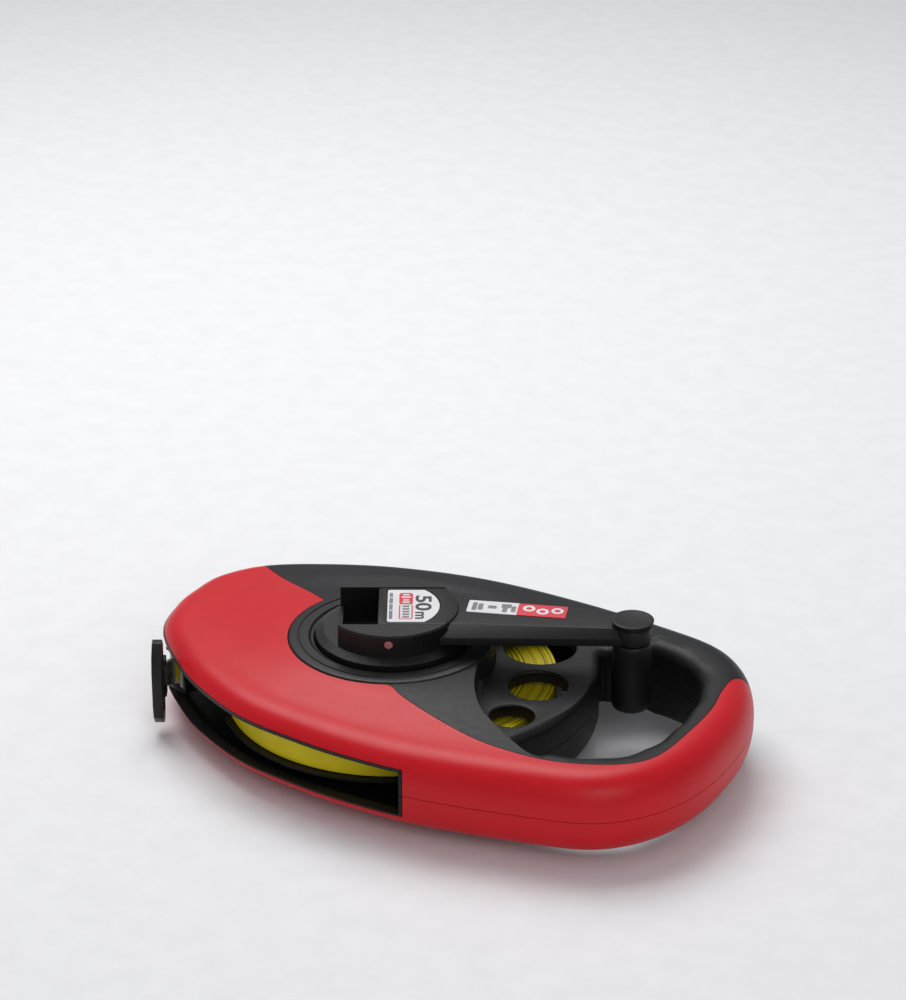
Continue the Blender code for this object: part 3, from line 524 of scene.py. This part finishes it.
def blade_ring(u, shoulder, slope, back):
    """One section across the blade: flat below, a sloping front, a flat top and a small round behind."""
    low, high, round_back = 5.95 * MM, BLADE_TOP, 1.3 * MM
    section = [(-shoulder + 0.3 * MM, low), (back, low)]
    for step in range(7):
        angle = math.pi / 2 * step / 6
        section.append((back - round_back * (1 - math.cos(angle)), high - round_back * (1 - math.sin(angle))))
    section += [(0.4 * MM - slope, high), (-slope, high - 0.04 * MM), (-0.4 * MM - slope, high - 0.2 * MM),
                (0.5 * MM - shoulder, 10.2 * MM), (0.1 * MM - shoulder, 9.9 * MM), (-shoulder, 9.5 * MM),
                (-shoulder, low + 0.3 * MM)]
    return [(u, v, w) for v, w in section]


def build_arm():
    tongue_r, half, end = 32.4 * MM, 19.2 * MM, -6.5 * MM
    corner = math.asin(half / tongue_r)
    tongue = [Vector((end, half)), *arc(tongue_r, corner, -corner, 33), Vector((end, -half))]
    rings = [at_height(inward(tongue, 0.4 * MM), 5.6 * MM), at_height(tongue, 6 * MM), at_height(tongue, 14.2 * MM),
             at_height(inward(tongue, 0.3 * MM), 14.75 * MM), at_height(inward(tongue, 0.9 * MM), ARM_TOP)]
    tongue_mesh = loft("arm_tongue", rings)
    blade = []
    for step in range(17):
        t = step / 16
        blade.append(blade_ring((20 + 92 * t) * MM, (21.3 - 13.4 * t) * MM, (12.2 - 7.6 * t) * MM, (17.5 - 5 * t) * MM))
    tip = turned("arm_tip", [(0, 5.95 * MM), (8.6 * MM, 5.95 * MM), (9.0 * MM, 6.3 * MM), (9.0 * MM, 12.6 * MM),
                             (8.5 * MM, 13.5 * MM), (7.7 * MM, BLADE_TOP), (0, BLADE_TOP)], 64, (CRANK_R, 0))
    room = cut(drum("cheek_room", 33.6 * MM, 0, 30 * MM), [
        boxed("channel_room", (-40 * MM, -half, -MM), (40 * MM, half, 31 * MM)),
    ])
    room.transform(HEAD)
    blade_mesh = cut(loft("arm_blade", blade), [tip], "UNION")
    blade_mesh.transform(CRANK)
    tongue_mesh.transform(HEAD)
    joined = cut(tongue_mesh, [cut(blade_mesh, [room])], "UNION")
    pin = turned("pin_hole", [(0, -60 * MM), (2.3 * MM, -60 * MM), (2.3 * MM, 60 * MM), (0, 60 * MM)], 24)
    pin.transform(HEAD @ Matrix.Translation((-1 * MM, 0, 10.4 * MM)) @ Matrix.Rotation(math.pi / 2, 4, "X"))
    seat = prism("label_seat", label_outline(0.7), ARM_TOP - 0.6 * MM, ARM_TOP + 9 * MM)
    seat.transform(HEAD)
    bore = turned("axle_bore", [(0, 0), (2.7 * MM, 0), (2.7 * MM, 30 * MM), (0, 30 * MM)], 24, (CRANK_R, 0))
    bore.transform(CRANK)
    arm = cut(joined, [pin, seat, bore])
    piece("arm_fine", arm, BLACK, "folding_arm", ("crank_arm",), smooth=32)


def label_outline(grow):
    """Flat towards the slot, bowed about the spindle at the other end, clockwise."""
    radius, half, start = 23.1, 16.9, -2
    reach = math.asin(half / radius)
    bow = [(radius * math.cos(a), radius * math.sin(a)) for a in (reach - 2 * reach * i / 20 for i in range(21))]
    points = [(start, half - 0.8), (start + 0.8, half), *bow, (start + 0.8, -half), (start, 0.8 - half)]
    return inward([Vector(point) * MM for point in points], -grow * MM)


def build_knob():
    cap = [(0, 11), (4, 11), (4, 14.2), (9.2, 14.2), (9.7, 14.35), (9.9, 15.2), (10.1, 16.1), (10.2, 16.5), (10.1, 16.8),
           (9.7, 17), (8.6, 17), (8.2, 16.9), (0, 16.9)]
    mesh = turned("knob_cap_fine", [(r * MM, w * MM) for r, w in cap], 72, (CRANK_R, 0))
    mesh.transform(CRANK)
    piece("knob_cap_fine", mesh, BLACK, "folding_arm", ("knob_cap",))
    grip = [(2.6, -27.7), (5.2, -27.7), (5.2, -30.2), (7.4, -30.2), (8.4, -29.7), (9.0, -28.8), (9.45, -26),
            (9.6, -20), (9.6, -12), (9.45, -2), (9.35, 3.4), (9.1, 4.6), (8.6, 5.2), (2.6, 5.3)]
    mesh = turned("knob_grip_fine", [(r * MM, w * MM) for r, w in grip], 72, (CRANK_R, 0))
    mesh.transform(CRANK)
    piece("knob_grip_fine", mesh, BLACK, "knob", ("knob_grip",))


def flat_mark(name, outline, low, high, material, place=CRANK):
    mesh = prism(name, outline, low, high)
    mesh.transform(place)
    return piece(name, mesh, material, "folding_arm")


def rectangle(u0, v0, u1, v1, corner=0.0):
    """A clockwise rectangle in millimetres of the crank frame, with rounded corners."""
    if not corner:
        return [Vector(p) * MM for p in ((u0, v1), (u1, v1), (u1, v0), (u0, v0))]
    points = []
    for cu, cv, start in ((u0 + corner, v1 - corner, 180), (u1 - corner, v1 - corner, 90),
                          (u1 - corner, v0 + corner, 0), (u0 + corner, v0 + corner, -90)):
        for step in range(5):
            angle = math.radians(start - 90 * step / 4)
            points.append(Vector((cu + corner * math.cos(angle), cv + corner * math.sin(angle))) * MM)
    return points


def lettering(name, words, start, end, base, top, height, material):
    """Flat text in a box of the head: its baseline runs towards -v and its top points along +u."""
    curve = bpy.data.curves.new(name, "FONT")
    curve.body = words
    curve.size = 11 * MM
    curve.extrude = 0.05 * MM
    curve.offset = 0.22 * MM
    curve.resolution_u = 4
    holder = bpy.data.objects.new(name + "_text", curve)
    bpy.context.scene.collection.objects.link(holder)
    bpy.context.view_layer.update()
    mesh = bpy.data.meshes.new_from_object(holder.evaluated_get(bpy.context.evaluated_depsgraph_get()))
    bpy.data.objects.remove(holder, do_unlink=True)
    xs, ys = [vertex.co.x for vertex in mesh.vertices], [vertex.co.y for vertex in mesh.vertices]
    mesh.transform(Matrix.Translation((-min(xs), -min(ys), 0)))
    fit = Matrix.Diagonal(((start - end) * MM / (max(xs) - min(xs)), (top - base) * MM / (max(ys) - min(ys)), 1, 1))
    turn = Matrix.Translation((base * MM, start * MM, height)) @ Matrix.Rotation(-math.pi / 2, 4, "Z")
    mesh.transform(HEAD @ turn @ fit)
    piece(name, mesh, material, "folding_arm", smooth=20)


def build_head_label():
    low, high = ARM_TOP - 0.3 * MM, ARM_TOP - 0.05 * MM
    top = high + 0.06 * MM
    mesh = prism("head_label_fine", label_outline(0), low, high)
    mesh.transform(HEAD)
    piece("head_label_fine", mesh, WHITE, "folding_arm", ("head_label",))
    flat_mark("label_band", rectangle(3.6, 1.5, 10.2, 13.5, 1.4), high, top, LABEL_RED, HEAD)
    rim = cut(prism("label_rim", rectangle(3.6, -14.2, 10.2, 1.4, 1.2), high, top),
              [prism("inner", rectangle(4.2, -13.6, 9.6, 1.4, 0.8), low, top + MM)])
    rim.transform(HEAD)
    piece("label_rim", rim, LABEL_RED, "folding_arm")
    for index, (v, tall) in enumerate(((12.2, 1.6), (9.6, 2.2), (6.6, 1.4), (4.2, 1.8)), 1):
        flat_mark(f"band_mark_{index}", rectangle(6.9 - tall, v - 1.4, 6.9 + tall, v, 0.4), top, top + 0.05 * MM,
                  WHITE, HEAD)
    for index in range(5):
        v = 0.2 - 2.8 * index
        flat_mark(f"rim_mark_{index + 1}", rectangle(5.2, v - 1.7, 8.6, v, 0.4), high, top, LABEL_GREY, HEAD)
    for index, (start, end) in enumerate(((13.6, 9.0), (8.0, 2.4), (1.6, -4.2), (-5.2, -13.8)), 1):
        flat_mark(f"small_print_{index}", rectangle(-1.2, end, 0.5, start, 0.3), high, top, LABEL_GREY, HEAD)
    lettering("length_mark_number", "50", 10.6, -5.1, 11.4, 19.3, top, INK)
    lettering("length_mark_unit", "m", -6.6, -13.8, 11.4, 15.6, top, INK)


def build_arm_label():
    low, high = BLADE_TOP - 0.2 * MM, BLADE_TOP + 0.3 * MM
    top = high + 0.07 * MM
    mesh = prism("arm_label_fine", rectangle(36, 1.2, 61, 13.4, 0.8), low, high)
    mesh.transform(CRANK)
    piece("arm_label_fine", mesh, WHITE, "folding_arm", ("arm_label",))
    flat_mark("arm_label_red", rectangle(60.2, 1.2, 84, 13.2, 0.8), low, high + 0.02 * MM, LABEL_RED)
    blocks = ((38.2, 3.2, 40.4, 11.2), (41, 4, 43.4, 10.4), (45.8, 6, 50, 9), (52.2, 7.4, 57, 11.4),
              (53, 3, 55.4, 7.2), (57.2, 3.6, 59.4, 9.6))
    for index, (u0, v0, u1, v1) in enumerate(blocks, 1):
        flat_mark(f"arm_mark_{index}", rectangle(u0, v0, u1, v1, 0.5), high, top, LABEL_GREY)
    for index, (u, v) in enumerate(((65.6, 8.6), (72.4, 6.4), (79.4, 8)), 1):
        ring = turned(f"arm_ring_{index}", [(1.5 * MM, high), (3.0 * MM, high), (3.0 * MM, top), (1.5 * MM, top)], 40,
                      (u * MM, v * MM))
        ring.transform(CRANK)
        piece(f"arm_ring_{index}", ring, WHITE, "folding_arm")


# ---------------------------------------------------------------- end ring

def build_end_ring():
    """The end ring with its edges rounded, cut from the CAD node's own shape."""
    source = frame["nodes"]["end_ring"]
    mesh = source.data.copy()
    bm = bmesh.new()
    bm.from_mesh(mesh)
    bmesh.ops.remove_doubles(bm, verts=bm.verts, dist=1e-6)
    bmesh.ops.dissolve_limit(bm, angle_limit=math.radians(2), verts=bm.verts, edges=bm.edges)
    edges = [edge for edge in bm.edges if len(edge.link_faces) == 2 and edge.calc_face_angle() > math.radians(25)
             and edge.calc_length() > 1.5 * MM]
    bmesh.ops.bevel(bm, geom=edges, offset=0.5 * MM, segments=2, profile=0.5, affect="EDGES", clamp_overlap=True)
    piece("end_ring_fine", mesh_from("end_ring_fine", bm), SATIN, "end_ring", ("end_ring",), smooth=30)


# ---------------------------------------------------------------- carried-over CAD nodes

def dress_cad():
    looks = {"red_abs": RED, "black_abs": BLACK, "dark_nylon": DARK, "pale_nylon": NYLON, "tape_paint": YELLOW,
             "printed_film": WHITE, "steel": STEEL}
    for entry in frame["record"]["subparts"]:
        made = frame["nodes"][entry["node"]]
        made.data.materials.clear()
        made.data.materials.append(looks[entry["material_slot"]])
    for name in ("crank_head", "drum_core"):
        frame["nodes"][name].data.materials[0] = SATIN if name == "crank_head" else BLACK


# ---------------------------------------------------------------- stage, light and camera

def build_stage():
    floor_mesh = boxed("floor", (-3, -3, -0.02), (3, 5, 0))
    floor = piece("floor", floor_mesh, surface("pale_floor", (0.80, 0.80, 0.81), (0.83, 0.83, 0.84), (0.6, 0.75)),
                  None)
    world = bpy.data.worlds.new("studio")
    world.use_nodes = True
    world.node_tree.nodes["Background"].inputs["Color"].default_value = (0.95, 0.96, 1.0, 1)
    world.node_tree.nodes["Background"].inputs["Strength"].default_value = 0.38
    bpy.context.scene.world = world


def area_light(name, place, target, size, power, colour=(1, 1, 1)):
    light = bpy.data.lights.new(name, "AREA")
    light.shape = "RECTANGLE"
    light.size, light.size_y = size
    light.energy = power
    light.color = colour
    made = bpy.data.objects.new(name, light)
    bpy.context.scene.collection.objects.link(made)
    made.location = place
    made.rotation_euler = (Vector(target) - Vector(place)).to_track_quat("-Z", "Y").to_euler()


def build_camera():
    camera = bpy.data.cameras.new("camera")
    camera.sensor_width = 36
    camera.lens = 118.8
    camera.clip_start = 0.01
    made = bpy.data.objects.new("camera", camera)
    bpy.context.scene.collection.objects.link(made)
    made.location = (0.6578, -1.2532, 0.7911)
    made.rotation_euler = Vector((-0.4037, 0.8097, -0.4258)).to_track_quat("-Z", "Y").to_euler()
    bpy.context.scene.camera = made


dress_cad()
build_shells()
build_drain_shade_tubes()
build_window_liner()
build_hub()
build_tape()
build_arm()
build_knob()
build_head_label()
build_arm_label()
build_end_ring()
build_stage()
area_light("key", (-0.5, 0.5, 1.3), (0, 0, 0), (1.2, 1.0), 17)
area_light("fill", (1.0, -1.0, 0.9), (0, 0, 0.02), (1.0, 0.8), 5)
build_camera()
bpy.context.scene.view_settings.view_transform = "Standard"
